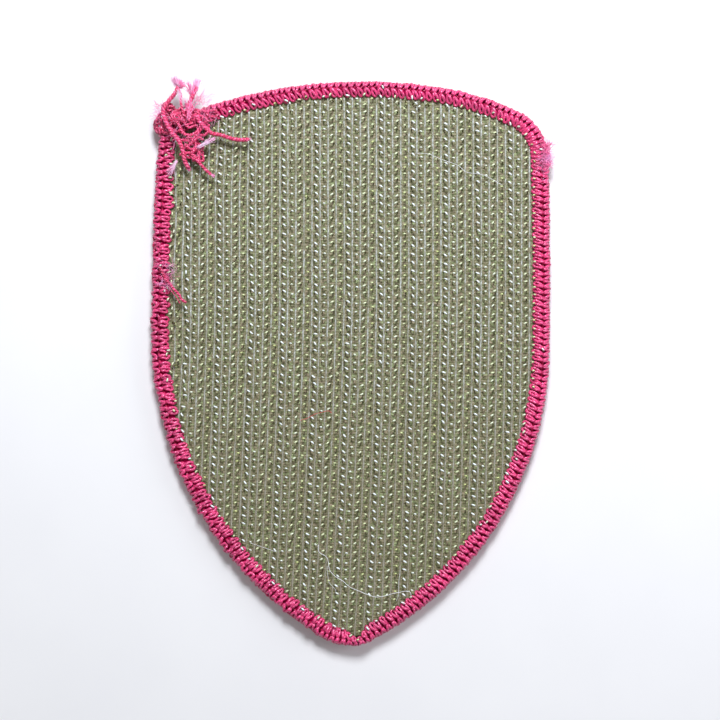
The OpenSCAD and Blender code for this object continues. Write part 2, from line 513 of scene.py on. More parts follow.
def strands_piece(name, strands):
    """One piece from many strands, with their UVs."""
    verts, faces, uvs = [], [], []
    start = 0
    for v, f, uv in strands:
        verts.append(v)
        faces += [[start + i for i in face] for face in f]
        uvs.append(uv)
        start += len(v)
    piece = new_piece(name, np.vstack(verts) * MM, faces)
    layer = piece.data.uv_layers.new(name="strand")
    layer.data.foreach_set("uv", np.vstack(uvs).ravel())
    bm = bmesh.new()
    bm.from_mesh(piece.data)
    bmesh.ops.recalc_face_normals(bm, faces=bm.faces)
    bm.to_mesh(piece.data)
    bm.free()
    return piece


def column_run(x, inset, step):
    """Places up one column of the tape, at close steps, where they lie far enough in from the edge."""
    y = np.arange(-HALF_LENGTH, HALF_LENGTH, step)
    places = np.column_stack((x + wander(x, y), y))
    return places[depth(places) > inset]


half_columns = int(HALF_WIDTH / COLUMN_PITCH)
ribs = []
for k in range(-half_columns, half_columns):
    run = column_run((k + 0.5) * COLUMN_PITCH, RIB_INSET, RIB_STEP)
    if len(run) < RIB_MIN_POINTS:
        continue
    phase = rng.uniform(0, 2 * math.pi)
    lift = RIB_WAVE * np.sin(run[:, 1] * 2 * math.pi / ROW_PITCH + phase)
    z = GROUND_TOP + RIB_HIGH - RIB_SINK + lift
    run[:, 0] += rng.normal(0, RIB_SCATTER, len(run))
    uneven = rng.normal(0, 1, len(run)).clip(-RIB_UNEVEN_MOST, RIB_UNEVEN_MOST)
    wide = RIB_WIDE * (1 + RIB_UNEVEN * uneven)
    ribs.append(tube(np.column_stack((run, z)), wide, RIB_HIGH, RIB_SIDES, up=(0, 0, 1)))
warp_ribs = strands_piece("warp_ribs", ribs)
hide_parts("hook_tape")

rib_yarn = Finish("pale_rib_yarn", Roughness=0.5, Sheen_Weight=0.2)
u, v, _ = rib_yarn.axes(rib_yarn.node("ShaderNodeTexCoord", out="UV"))
ply = (u * (2 * math.pi / RIB_PLY) + v * (2 * math.pi)).wave()
tone = rib_yarn.noise(rib_yarn.place(), 1100.0, 3.0).ramp(0.32, 0.66)
pale = rib_yarn.mix(tone, (0.22, 0.21, 0.13, 1), (0.52, 0.55, 0.53, 1))
# Painted light: the ribs' pale painted sheen fades to a duller brown towards the point
rib_sheen_falloff = rib_yarn.axes(rib_yarn.place())[1].ramp(RIB_PAINTED_SHEEN_Y[0] * MM, RIB_PAINTED_SHEEN_Y[1] * MM)
pale = rib_yarn.mix(rib_sheen_falloff * 0.75, pale, (0.26, 0.225, 0.15, 1))
rib_yarn.feed(
    Base_Color=rib_yarn.mix(ply * 0.4, pale, (0.22, 0.21, 0.14, 1)),
    Normal=rib_yarn.bump(ply, 0.00004, 0.6),
)
rib_yarn.cover(warp_ribs)


# Hooks: stiff nylon monofilament, woven up through the ground as loops that are cut on one side, so
# that each is a leg, an arch and a short free end. They stand in columns, and four columns repeat.
FILAMENT_R = 0.16
ARCH_R = 0.28
HOOK_H = 1.3
HOOK_SIDES = 6
ARCH_STEPS = 7
ARCH_TURN = 205
LEG_TOP = HOOK_H - ARCH_R - FILAMENT_R
MERGE_WITHIN = 1e-7

deselect()
bpy.ops.mesh.primitive_circle_add(
    vertices=HOOK_SIDES, radius=FILAMENT_R * MM, fill_type="NGON", location=(-ARCH_R * MM, 0, 0)
)
bpy.ops.object.transform_apply(location=True, rotation=False, scale=False)
hook = bpy.context.object
bpy.ops.object.mode_set(mode="EDIT")
bpy.ops.mesh.select_all(action="SELECT")
bpy.ops.mesh.extrude_region_move(TRANSFORM_OT_translate={"value": (0, 0, LEG_TOP * MM)})
bpy.ops.mesh.spin(
    steps=ARCH_STEPS, angle=math.radians(ARCH_TURN), center=(0, 0, LEG_TOP * MM), axis=(0, -1, 0)
)
bpy.ops.mesh.select_all(action="SELECT")
bpy.ops.mesh.remove_doubles(threshold=MERGE_WITHIN)
bpy.ops.mesh.normals_make_consistent(inside=False)
bpy.ops.object.mode_set(mode="OBJECT")
hook_points = np.array([v.co for v in hook.data.vertices]) / MM
hook_faces = sorted_faces(hook.data)
bpy.data.objects.remove(hook)

# Each kind of column: the piece that it is part of, the turn of its hooks from the X axis, how far up
# the row they stand, the tilt of their tops, how strong their painted glint is and how long they are, and
# how the turn varies
COLUMN_KINDS = (
    ("hooks_facing_right", -38, 0.28, 8, 1.0, 1.05, 9),
    ("hooks_facing_right", -12, 0.99, 14, 0.72, 0.72, 12),
    ("hooks_facing_left", 215, 0.34, -6, 0.42, 0.95, 9),
    ("hooks_facing_left", 186, 0.76, -10, 0.2, 0.7, 16),
)
HALF_ROWS = 36
# How far the hooks vary: their tilt in degrees, the share of their height, the strength of their painted
# glint and their place
TILT_SPREAD = 5
HEIGHT_SPREAD = 0.03
GLINT_SPREAD = 0.3
PLACE_SPREAD = 0.05
# They stand more unevenly where they are crushed, at the left edge and along the top
LEFT_CRUSH = 3.5
LEFT_CRUSH_X = -34.5
LEFT_CRUSH_WIDE = 3
TOP_CRUSH = 3
TOP_CRUSH_WIDE = 4.5
TOP_SIDE_Y = 35
# Painted shade and highlight: the hooks are painted dark olive up to one height, and pale from another as a
# painted glint on their tops
PAINTED_SHADE_TO = 0.8
PAINTED_GLINT_FROM = 1.24
# The share of the hooks that still show at a distance in from the edge, where the stitches catch them
CAUGHT_INSETS = (0.9, 1.6, 2.3, 2.7)
CAUGHT_SHARES = (0, 0.04, 0.12, 1)
# The knot presses the hooks under it flat: none are made there
KNOT_AT = (-30.6, 43.6)
KNOT_R = 2.6


def disorder(x, y, inset):
    """How much more unevenly the hooks stand at a place."""
    left = LEFT_CRUSH * near(x, LEFT_CRUSH_X, LEFT_CRUSH_WIDE)
    top = TOP_CRUSH * near(inset, 0, TOP_CRUSH_WIDE) if y > TOP_SIDE_Y else 0
    return 1 + left + top


def turned(a, b, angle):
    """Two coordinates of some points, turned by an angle from the first towards the second."""
    return a * math.cos(angle) - b * math.sin(angle), a * math.sin(angle) + b * math.cos(angle)


def hook_columns(piece_name):
    """Points, faces and painted glint strengths of all the hooks of one piece."""
    verts, faces, painted_glints = [], [], []
    start = 0
    for k in range(-half_columns, half_columns + 1):
        owner, turn, phase, tilt, glint_strength, long, spread = COLUMN_KINDS[k % len(COLUMN_KINDS)]
        if owner != piece_name:
            continue
        y = (np.arange(-HALF_ROWS, HALF_ROWS) + phase) * ROW_PITCH + ROW_SKEW * k * COLUMN_PITCH
        spots = np.column_stack((k * COLUMN_PITCH + wander(k * COLUMN_PITCH, y), y))
        for spot, far in zip(spots, depth(spots)):
            draws = rng.normal(0, 1, 5)
            chance, painted_glint = rng.random(2)
            if chance >= np.interp(far, CAUGHT_INSETS, CAUGHT_SHARES) or math.dist(spot, KNOT_AT) < KNOT_R:
                continue
            uneven = disorder(*spot, far)
            x, y, z = (hook_points * (long, 1, 1 + HEIGHT_SPREAD * draws[2])).T
            leaned = math.radians(tilt + TILT_SPREAD * draws[1] * uneven)
            y, z = y * math.cos(leaned) + z * math.sin(leaned), z * math.cos(leaned)
            x, y = turned(x, y, math.radians(turn + spread * draws[0] * uneven))
            at = spot + PLACE_SPREAD * draws[3:5] * uneven
            verts.append(np.column_stack((x + at[0], y + at[1], z + GROUND_TOP)))
            faces += [[start + i for i in f] for f in hook_faces]
            painted_glints.append(np.full(len(x), np.clip(glint_strength + GLINT_SPREAD * (painted_glint - 0.5), 0, 1)))
            start += len(x)
    return np.vstack(verts) * MM, faces, np.concatenate(painted_glints)


nylon = Finish("nylon_monofilament", Roughness=0.36, IOR=1.55)
# Painted highlight and shade: each hook is dark olive low down, partly the nylon's own colour and partly
# painted shade, and near-white or yellow-green on top as a painted glint
z = nylon.axes(nylon.place())[2]
height = z.ramp((GROUND_TOP + PAINTED_SHADE_TO) * MM, (GROUND_TOP + PAINTED_GLINT_FROM) * MM)
clear = nylon.mix(nylon.attribute("painted_glint"), (0.60, 0.66, 0.24, 1), (0.86, 0.93, 0.95, 1))
nylon.feed(Base_Color=nylon.mix(height, (0.15, 0.15, 0.05, 1), clear))
for name in ("hooks_facing_right", "hooks_facing_left"):
    verts, faces, painted_glints = hook_columns(name)
    hooks = new_piece(name, verts, faces)
    hooks.data.attributes.new("painted_glint", "FLOAT", "POINT").data.foreach_set("value", painted_glints)
    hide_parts("hook_field")
    nylon.cover(hooks)


# Border: crimson overlock thread, sewn over the cut edges of both cloths. A row of loops goes over
# the rim and a second lies further in, with the cut edge between them, painted dark as shade. A third row
# covers the underside, and a chain runs round the rim.

# Half the thickness of the thread, in each row
RIM_WIDE = 0.275
CHAIN_WIDE = 0.285
INNER_WIDE = 0.265
UNDER_WIDE = 0.32
THREAD_HIGH = 0.255
THREAD_SIDES = 8
LOOP_STEPS = 2
CHAIN_STEPS = 3
# The thread swells and thins by a share, at every few points of its route
SWELL = 0.1
SWELL_STRIDE = 5
CLEAR_OF_TABLE = 1.3
# The middle of the border's section, from which the threads' outer sides face away
MIDDLE_IN = 1.6
MIDDLE_Z = 1.5
# The stitches sit looser on the left and right sides: their part further in than this reaches further
SIDE_LOOSENESS = 0.15
LOOSE_FROM = 1.0
# The distance between stitches, at distances along the edge from the point: widest along the top
PITCH_AT = (0, 60, 75, 112, 133, 178, 206, 325)
PITCHES = (1.24, 1.23, 1.17, 1.17, 1.33, 1.33, 1.25, 1.26)
PITCH_STEP = 0.1
# The stitches lean: how far their threads shift along the edge at distances in from the rim, in shares
# of the pitch, and how much of it they do at distances along the edge. Below 0 they lean the other way
LEAN_INSETS = (0.26, 1.2, 1.8, 2.55, 2.98)
LEAN_SHIFTS = (-0.38, -0.12, -0.42, -0.66, -0.7)
LEAN_AT = (0, 12, 28, 45, 62, 112, 128, 178, 205, 250, 300)
LEANS = (0.2, 0.6, 0.6, -0.4, -1, -1, 1, 1, 0, -0.4, -0.4)
# They are uneven, most of all on the left side. A stitch shifts as a whole, and each of its points by
# a share of that
RAGGED_AT = (0, 50, 178, 205, 300)
RAGGED = (0.08, 0.045, 0.05, 0.12, 0.12)
POINT_SHARE = 0.5

pitch_s = np.arange(0, EDGE_LENGTH, PITCH_STEP)
stitch_number = np.cumsum(PITCH_STEP / np.interp(pitch_s, PITCH_AT, PITCHES)) - PITCH_STEP / PITCHES[0]
stitch_count = round(stitch_number[-1])
stitch_number *= stitch_count / stitch_number[-1]

# Routes of one stitch in each row: the share of the pitch, the distance in from the rim, the height
RIM_LOOP = (
    (-0.50, 1.14, 2.80), (-0.39, 1.02, 2.98), (-0.33, 0.78, 2.90), (-0.24, 0.52, 2.58), (-0.12, 0.32, 2.15),
    (0.00, 0.27, 1.95), (0.12, 0.32, 2.15), (0.24, 0.52, 2.58), (0.33, 0.78, 2.90), (0.39, 1.02, 2.98),
)
RIM_CHAIN = (
    (0.00, 0.42, 1.40), (0.25, 0.42, 1.70), (0.50, 0.38, 2.10), (0.75, 0.42, 1.70),
)
INNER_LOOP = (
    (0.50, 1.42, 2.80), (0.38, 1.60, 3.02), (0.30, 1.88, 3.06), (0.23, 2.15, 2.97), (0.21, 2.46, 2.77),
    (0.30, 2.76, 2.55), (0.50, 2.90, 2.47), (0.71, 2.76, 2.50), (0.79, 2.46, 2.62), (0.75, 2.15, 2.77),
    (0.68, 1.88, 2.86), (0.62, 1.62, 2.86), (0.58, 1.38, 2.65), (0.80, 1.24, 2.20), (1.20, 1.24, 2.20),
)
UNDER_LOOP = (
    (0.00, 2.5, 0.42), (0.16, 1.7, 0.34), (0.34, 1.0, 0.36), (0.50, 0.55, 0.62), (0.60, 0.34, 1.15),
    (0.70, 0.36, 1.15), (0.80, 0.6, 0.7), (0.90, 1.2, 0.42), (0.97, 2.0, 0.42),
)


def smooth_route(points, steps):
    """A Catmull-Rom curve through the points, with so many steps between two of them."""
    points = np.asarray(points, float)
    around = np.vstack((2 * points[0] - points[1], points, 2 * points[-1] - points[-2]))
    made = []
    t = np.arange(steps)[:, None] / steps
    for a, b, c, d in zip(around, around[1:], around[2:], around[3:]):
        bend = (2 * a - 5 * b + 4 * c - d) * t**2
        made.append(0.5 * (2 * b + (c - a) * t + bend + (3 * b - a - 3 * c + d) * t**3))
    return np.vstack((*made, points[-1:]))


def heading(s):
    return np.interp(np.mod(s, EDGE_LENGTH), EDGE_ROWS[:, 0], EDGE_ROWS[:, 3])


def broad(s):
    """How much further in the stitches reach than along the top edge."""
    return 1 + SIDE_LOOSENESS * np.abs(np.sin(heading(s)))


def stitch_place(number):
    """The distance along the edge at which the stitch of a number lies; parts of a stitch count too."""
    rounds = np.floor(number / stitch_count)
    return np.interp(number - rounds * stitch_count, stitch_number, pitch_s) + rounds * EDGE_LENGTH


def stitched(route, wide, steps=LOOP_STEPS, phase=0):
    """The closed strand that a stitch's route makes, repeated round the whole edge. Every stitch leans
    as its side of the border does, and is a little uneven in its own way."""
    route = np.array(route)
    rows = []
    for i in range(stitch_count):
        own = route.copy()
        ragged = np.interp(stitch_place(i), RAGGED_AT, RAGGED)
        lean = np.interp(stitch_place(i), LEAN_AT, LEANS) * np.interp(own[:, 1], LEAN_INSETS, LEAN_SHIFTS)
        own[:, 0] = stitch_place(own[:, 0] + lean + i + phase + ragged * rng.normal())
        own[:, 1] = LOOSE_FROM + (own[:, 1] + ragged * rng.normal() - LOOSE_FROM) * broad(own[:, 0])
        own[:, 2] += ragged * POINT_SHARE * rng.normal()
        own += ragged * POINT_SHARE * rng.normal(size=(len(own), 3))
        own[:, 2] = own[:, 2].clip(THREAD_HIGH * CLEAR_OF_TABLE)
        rows.append(own)
    rows = np.vstack(rows)
    gap = np.array((EDGE_LENGTH, 0, 0))
    around = np.vstack((rows[-1:] - gap, rows, rows[:2] + gap))
    line = smooth_route(around, steps)[steps:-2 * steps]
    thread_line = on_edge(line[:, 0], line[:, 1], line[:, 2])
    middle = on_edge(line[:, 0], np.full(len(line), MIDDLE_IN), MIDDLE_Z)
    swells_at = np.arange(0, len(line), SWELL_STRIDE)
    swell = 1 + SWELL * np.interp(np.arange(len(line)), swells_at, rng.normal(size=len(swells_at)))
    out = thread_line - middle
    return tube(thread_line, wide * swell, THREAD_HIGH * swell, THREAD_SIDES, up=out, closed=True)


rim_loops = strands_piece("border_rim_loops", [stitched(RIM_LOOP, RIM_WIDE)])
rim_chain = strands_piece("border_rim_chain", [stitched(RIM_CHAIN, CHAIN_WIDE, CHAIN_STEPS)])
inner_loops = strands_piece("border_inner_loops", [stitched(INNER_LOOP, INNER_WIDE)])
under_loops = strands_piece("border_under_loops", [stitched(UNDER_LOOP, UNDER_WIDE, phase=0.5)])

# The cut edges inside the stitches, red like the border and painted darker as shade for the gaps between
# the stitches: distances in from the rim and heights of their section
CORE_SECTION = (
    (0.5, 1.0), (0.5, 1.85), (0.85, 2.1), (1.3, 2.1), (1.65, 2.55), (2.2, 2.5), (2.6, 2.2), (2.6, 0.7),
    (2.2, 0.5), (0.85, 0.55),
)
CORE_STEP = 1.0
core_s = np.arange(0, EDGE_LENGTH, CORE_STEP)
core_rows = [on_edge(core_s, np.full(len(core_s), far_in), z) for far_in, z in CORE_SECTION]
core_verts = np.stack(core_rows, 1).reshape(-1, 3) * MM
sides = len(CORE_SECTION)
core_faces = []
for i in range(len(core_s)):
    here, there = i * sides, (i + 1) % len(core_s) * sides
    for j in range(sides):
        k = (j + 1) % sides
        core_faces.append((here + j, here + k, there + k, there + j))
border_core = new_piece("border_cut_edges", core_verts, core_faces)


# The spun thread's ply, and the heights between which it is painted darker, as shade where it dips between
# the rows
SPUN_PLY = 0.55
DIP_FROM = (1.2, 1.7)
DIP_TO = (2.3, 3.05)


def spun(name, low, high, painted_sheen):
    """A finish for spun thread: two shades, the paler edges of its plies, and fine fibres along it that
    carry a painted sheen.
    """
    made = Finish(
        name, Roughness=0.3, Specular_IOR_Level=1.0, Specular_Tint=(1, 0.8, 1, 1),
        Sheen_Weight=0.2, Sheen_Roughness=0.35, Sheen_Tint=(1, 0.45, 1, 1),
    )
    u, v, _ = made.axes(made.node("ShaderNodeTexCoord", out="UV"))
    ply = (u * (2 * math.pi / SPUN_PLY) + v * (4 * math.pi)).wave()
    along_it = made.node("ShaderNodeCombineXYZ", None, {0: u * 1.5, 1: v * 14.0, 2: 0.0})
    fibre = made.noise(along_it, 3.0, 3.0)
    tone = made.noise(made.place(), 260.0, 3.0).ramp(0.25, 0.75)
    # Painted highlight: along the fibres the colour turns towards a bright pink-violet sheen
    colour = made.mix(fibre * 0.4, made.mix(tone, low, high), painted_sheen)
    colour = made.mix(ply * 0.3, colour, low)
    return made, colour, made.bump(ply * 0.6 + fibre, 0.00005, 0.7)


thread, crimson, relief = spun(
    "crimson_thread", (0.46, 0.0, 0.028, 1), (0.8, 0.008, 0.1, 1), (1.0, 0.25, 0.72, 1)
)
z = thread.axes(thread.place())[2]
# Painted shade: the thread is a darker red where it dips low between the rows
dip_shade = (1 - z.ramp(DIP_TO[0] * MM, DIP_TO[1] * MM)) * z.ramp(DIP_FROM[0] * MM, DIP_FROM[1] * MM)
thread.feed(Base_Color=thread.mix(dip_shade * 0.8, crimson, (0.45, 0.0, 0.045, 1)), Normal=relief)
thread.cover(rim_loops, rim_chain, inner_loops, under_loops)
# Painted shade: the cut edges are a dark red, so that the gaps between the stitches look shaded
shaded_cut_edge = Finish("cut_edge_painted_shade", Roughness=0.9, Specular_IOR_Level=0.1)
blotch = shaded_cut_edge.noise(shaded_cut_edge.place(), 900.0)
shaded_cut_edge.feed(Base_Color=shaded_cut_edge.mix(blotch, (0.2, 0.0, 0.03, 1), (0.4, 0.0, 0.06, 1)))
shaded_cut_edge.cover(border_core)
for piece in (rim_loops, rim_chain, inner_loops, under_loops, border_core):
    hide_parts("stitched_border")


# Knotted tail: the ends of the border thread, twisted from two plies, knotted over the top left
# corner and frayed at their tips. A row is a thickness, then the places that the thread runs through.
TAIL_THREADS = (
    # Long end, from its frayed tip down over the corner to its cut end on the hooks
    (0.92, (-32.6, 52.3, 4.3), (-33.2, 51.0, 4.4), (-34.7, 49.1, 4.5), (-35.4, 47.5, 4.6),
     (-34.9, 45.6, 4.8), (-33.8, 43.6, 4.9), (-32.4, 41.9, 4.9), (-31.6, 39.8, 4.8),
     (-31.4, 38.4, 4.5), (-30.65, 36.8, 4.0)),
    # Frayed tuft over the top edge
    (0.88, (-29.1, 52.3, 4.3), (-29.3, 51.6, 4.4), (-29.85, 50.5, 4.6), (-30.4, 49.0, 4.8),
     (-30.6, 47.7, 4.9), (-30.7, 45.6, 4.8)),
    # Pale strand between the two
    (0.6, (-32.6, 51.8, 4.6), (-32.05, 50.7, 4.8), (-32.05, 49.4, 4.9), (-31.85, 48.1, 5.0),
     (-31.3, 46.4, 4.8)),
    # Two loops round the holes in the knot
    (0.66, (-32.6, 45.4, 4.3), (-32.1, 44.2, 4.3), (-31.6, 43.4, 4.3), (-30.4, 43.1, 4.3),
     (-29.2, 43.6, 4.4), (-28.3, 45.0, 4.6), (-28.8, 46.2, 4.7)),
    (0.58, (-33.2, 43.2, 4.2), (-32.3, 42.3, 4.2), (-30.9, 42.1, 4.2), (-29.7, 42.5, 4.3),
     (-28.5, 43.9, 4.3), (-27.6, 45.0, 4.4)),
    # Tail that points right across the hooks
    (0.88, (-29.2, 46.8, 4.8), (-28.4, 45.4, 4.8), (-27.2, 44.2, 4.5), (-26.2, 43.45, 4.2),
     (-24.4, 43.1, 4.0), (-22.8, 42.55, 3.95), (-21.2, 42.25, 3.95), (-19.3, 42.3, 3.95)),
    # Pale tip that points up to the right
    (0.62, (-32.3, 39.4, 4.4), (-31.3, 39.7, 4.6), (-30.0, 39.8, 4.7), (-28.5, 41.0, 4.6),
     (-27.5, 41.4, 4.5), (-26.4, 42.0, 4.3)),
    # Tail that points down to the right
    (0.7, (-30.0, 39.6, 4.5), (-29.2, 38.6, 4.4), (-28.3, 37.5, 4.1), (-27.2, 36.35, 3.95),
     (-26.3, 35.6, 3.9)),
)
# Heaps of small loops that the knot is made of: middle, half sizes and number of loops
LOOP_HEAPS = (
    ((-29.2, 46.9, 3.9), (1.5, 0.9, 0.7), 9),
    ((-27.1, 46.4, 3.8), (1.1, 0.8, 0.5), 6),
    ((-30.9, 47.5, 3.9), (0.8, 0.9, 0.7), 5),
    ((-29.4, 41.6, 3.9), (1.4, 0.7, 0.5), 8),
    ((-29.8, 39.4, 3.9), (1.0, 0.5, 0.4), 6),
    ((-35.95, 45.5, 2.9), (0.5, 1.6, 0.6), 14),
    ((-30.3, 45.7, 4.1), (0.8, 0.4, 0.3), 5),
    ((-34.4, 47.9, 3.4), (0.7, 0.9, 0.4), 8),
    ((-34.6, 44.6, 3.3), (0.6, 1.3, 0.4), 6),
    ((-32.6, 44.6, 3.7), (0.6, 0.6, 0.4), 3),
    ((-27.9, 44.6, 3.8), (0.4, 0.8, 0.5), 4),
)
LOOP_THICK = 0.56
LOOP_R = (0.5, 1.05)
# How far a loop leans and how uneven its radius is, how many half turns it makes, and how flat it is
LOOP_LEAN = 0.45
LOOP_UNEVEN = 0.12
LOOP_HALF_TURNS = (1.3, 1.9)
LOOP_FLAT = (0.6, 1)
LOOP_POINTS = 10
LOOP_SIDES = 5
# One thread is coiled up on top of the knot, in a spiral that drops towards its outside
COIL_AT = (-32.9, 46.5, 4.75)
COIL_R = 1.45
COIL_INNER_R = 0.2
COIL_POINTS = 50
COIL_TURNS = 3.3
COIL_DROP = 1.1
# The plies of a thread: how many, the length of their twist, and their radius in shares of its thickness
PLIES = 2
PLY_PITCH = 1.25
PLY_R_SHARE = 0.28
PLY_MARK = 1000
PLY_STEP = 0.15
ROUTE_STEPS = 12


def plied(route, thick, sides=6):
    """A twisted thread: its plies wind round the curve through the given places. The U of every
    second ply starts at PLY_MARK, by which the finish tells the plies apart."""
    line = smooth_route(route, ROUTE_STEPS)
    run = np.concatenate(([0], np.cumsum(np.linalg.norm(np.diff(line, axis=0), axis=1))))
    s = np.arange(0, run[-1], PLY_STEP)
    line = np.column_stack([np.interp(s, run, line[:, i]) for i in range(3)])
    up = carried_up(line)
    side = np.cross(np.gradient(line, axis=0), up)
    side /= np.linalg.norm(side, axis=1)[:, None]
    r = thick * PLY_R_SHARE
    made = []
    for k in range(PLIES):
        turn = 2 * math.pi * (s / PLY_PITCH + k / PLIES)[:, None]
        ply_line = line + (thick / 2 - r) * (np.cos(turn) * side + np.sin(turn) * up)
        verts, faces, uv = tube(ply_line, r, r, sides)
        made.append((verts, faces, uv + (k * PLY_MARK, 0)))
    return made


def plied_all(rows):
    """The twisted threads of a table, each row a thickness and the places that its thread runs through."""
    return [strand for thick, *route in rows for strand in plied(route, thick)]


def about(middle, half):
    """A random place in a box, from its middle and half sizes."""
    return np.array(middle) + np.array(half) * rng.uniform(-1, 1, 3)


def loop_heap(middle, half, count):
    """Small open loops of thread at random places in a heap, lying flat or tilted."""
    made = []
    for _ in range(count):
        at = about(middle, half)
        lean_x, lean_y = rng.normal(0, LOOP_LEAN, 2)
        start = rng.uniform(0, 2 * math.pi)
        turn = start + np.linspace(0, rng.uniform(*LOOP_HALF_TURNS) * math.pi, LOOP_POINTS)
        r = rng.uniform(*LOOP_R) * (1 + LOOP_UNEVEN * rng.normal(0, 1, LOOP_POINTS))
        x, y = r * np.cos(turn), r * np.sin(turn) * rng.uniform(*LOOP_FLAT)
        route = at + np.column_stack((x, y, x * lean_x + y * lean_y))
        made += plied(route, LOOP_THICK, LOOP_SIDES)
    return made


tail_threads = plied_all(TAIL_THREADS)
turn = np.linspace(0, COIL_TURNS * 2 * math.pi, COIL_POINTS)
out = COIL_INNER_R + (COIL_R - COIL_INNER_R) * turn / turn[-1]
coil = np.column_stack((out * np.cos(turn), out * np.sin(turn), -COIL_DROP * (out / COIL_R) ** 2))
tail_threads += plied(coil + COIL_AT, LOOP_THICK, LOOP_SIDES)
for heap in LOOP_HEAPS:
    tail_threads += loop_heap(*heap)
knot = strands_piece("knotted_threads", tail_threads)

# The second ply is darker, and what lies deep in the knot, below the first of these heights, is painted
# darker as shade
KNOT_DEEP = (4.6, 3.3)
tail, pink, relief = spun(
    "tail_thread", (0.66, 0.01, 0.085, 1), (0.92, 0.05, 0.22, 1), (1.0, 0.33, 0.55, 1)
)
u = tail.axes(tail.node("ShaderNodeTexCoord", out="UV"))[0]
second = u.ramp(PLY_MARK * 0.4, PLY_MARK * 0.5)
# Painted shade: the thread turns darker lower down in the knot
knot_shade = tail.axes(tail.place())[2].ramp(KNOT_DEEP[0] * MM, KNOT_DEEP[1] * MM)
pink = tail.mix(second * 0.55, pink, (0.45, 0.004, 0.045, 1))
tail.feed(Base_Color=tail.mix(knot_shade * 0.6, pink, (0.3, 0.001, 0.03, 1)), Normal=relief)
tail.cover(knot)

# Frayed tips: place, direction, number of fibres, their length, the width of the end, spread and curl
PALE_TIPS = (
    ((-32.7, 52.4, 4.4), (-0.42, 1, 0), 90, 1.8, 0.55, 0.14, 0.05),
    ((-29.15, 52.1, 4.4), (0.15, 1, 0), 70, 1.6, 0.4, 0.1, 0.05),
    ((-32.0, 49.3, 5.0), (-0.12, 1, 0), 24, 2.2, 0.3, 0.03, 0.03),
    ((-28.9, 40.7, 4.8), (0.87, 0.49, 0), 60, 3.3, 0.34, 0.03, 0.02),
    ((-32.9, 38.2, 3.85), (-0.51, -0.86, 0), 40, 2.9, 0.3, 0.025, 0.03),
)
PINK_TIPS = (
    ((-32.2, 52.2, 4.3), (0.3, 1, 0), 80, 1.3, 0.6, 0.2, 0.1),
    ((-29.9, 50.0, 4.4), (-0.08, 1, 0), 70, 3.3, 0.5, 0.13, 0.06),
    ((-30.6, 46.0, 5.0), (0.1, 1, 0), 50, 3.6, 0.5, 0.04, 0.04),
    ((-19.5, 42.3, 3.95), (1, 0.1, 0), 14, 0.5, 0.5, 0.4, 0.1),
    ((-26.4, 35.7, 3.9), (0.6, -0.6, 0), 20, 0.8, 0.3, 0.25, 0.1),
    ((-30.6, 36.9, 4.0), (0.3, -1, 0), 20, 0.5, 0.4, 0.3, 0.1),
)
# Loose fuzz: middle, half sizes, main direction, number of fibres, their length, curl and thickness
FUZZ = (
    ((-29.3, 50.6, 4.5), (1.2, 1.0, 0.3), (0.2, 1, 0), 12, 5.5, 0.12, 0.04),
    ((-28.4, 49.4, 4.2), (1.3, 0.8, 0.4), (0.8, 0.8, 0), 50, 2.4, 0.1, 0.045),
    ((-30.5, 45.0, 4.8), (4.5, 4.5, 0.4), (0, 0, 0), 55, 2.4, 0.3, 0.05),
    ((-27.2, 46.9, 4.4), (0.9, 0.9, 0.3), (0, 0, 0), 60, 1.2, 0.35, 0.05),
    ((-36.4, 47.2, 3.6), (0.8, 1.8, 0.5), (-0.1, 0.8, 0), 90, 1.5, 0.3, 0.055),
    ((-30.0, 40.8, 4.6), (2.2, 2.5, 0.3), (0, 0, 0), 25, 1.8, 0.3, 0.045),
)
FIBRE_STEPS = 8
FIBRE_SIDES = 3
FIBRE_SHAKE = 0.6
FIBRE_FLATTEN = 0.8
FIBRE_LOW = 3.4
FIBRE_HIGH = 5.4
FAN_THICK = 0.085
FUZZ_SPREAD = 0.6
# The shortest and longest fibres, in shares of the row's length
FAN_LENGTHS = (0.6, 1.15)
FUZZ_LENGTHS = (0.4, 1.2)


def fibre(start, way, length, curl, thick, low=FIBRE_LOW):
    """One fine fibre that wanders off from a place in a direction, and stays above a height."""
    way = np.array(way, float) / np.linalg.norm(way)
    places = [np.array(start, float)]
    bend = curl * rng.normal(0, 1, 3)
    for _ in range(FIBRE_STEPS):
        way = way + bend + FIBRE_SHAKE * curl * rng.normal(0, 1, 3)
        way[2] *= FIBRE_FLATTEN
        way /= np.linalg.norm(way)
        places.append(places[-1] + way * length / FIBRE_STEPS)
    places = np.array(places)
    places[:, 2] = places[:, 2].clip(low, FIBRE_HIGH)
    return tube(places, thick / 2, thick / 2, FIBRE_SIDES)


def fan(at, way, count, length, wide, spread, curl):
    """The frayed end of a thread: fibres that fan out from it."""
    made = []
    for _ in range(count):
        start = at + wide / 3 * rng.normal(0, 1, 3)
        own_way = np.array(way) + spread * rng.normal(0, 1, 3)
        made.append(fibre(start, own_way, length * rng.uniform(*FAN_LENGTHS), curl, FAN_THICK))
    return made


def fuzz(middle, half, way, count, length, curl, thick, low=FIBRE_LOW):
    """Loose fibres that start at random places in a box and run more or less one way."""
    made = []
    for _ in range(count):
        start = about(middle, half)
        own_way = np.array(way) + FUZZ_SPREAD * rng.normal(0, 1, 3)
        made.append(fibre(start, own_way, length * rng.uniform(*FUZZ_LENGTHS), curl, thick, low))
    return made


def all_of(make, rows, *more):
    """The fibres of every row of a table."""
    return [strand for row in rows for strand in make(*row, *more)]


def fuzz_finish(name, low, high):
    """A finish for loose fibres: paler the more their dye has gone."""
    made = Finish(name, Roughness=0.6, Sheen_Weight=0.4, Sheen_Tint=(1, 0.75, 1, 1))
    whiter = made.noise(made.place(), 350.0, 2.0).ramp(0.35, 0.7)
    made.feed(Base_Color=made.mix(whiter, low, high))
    return made


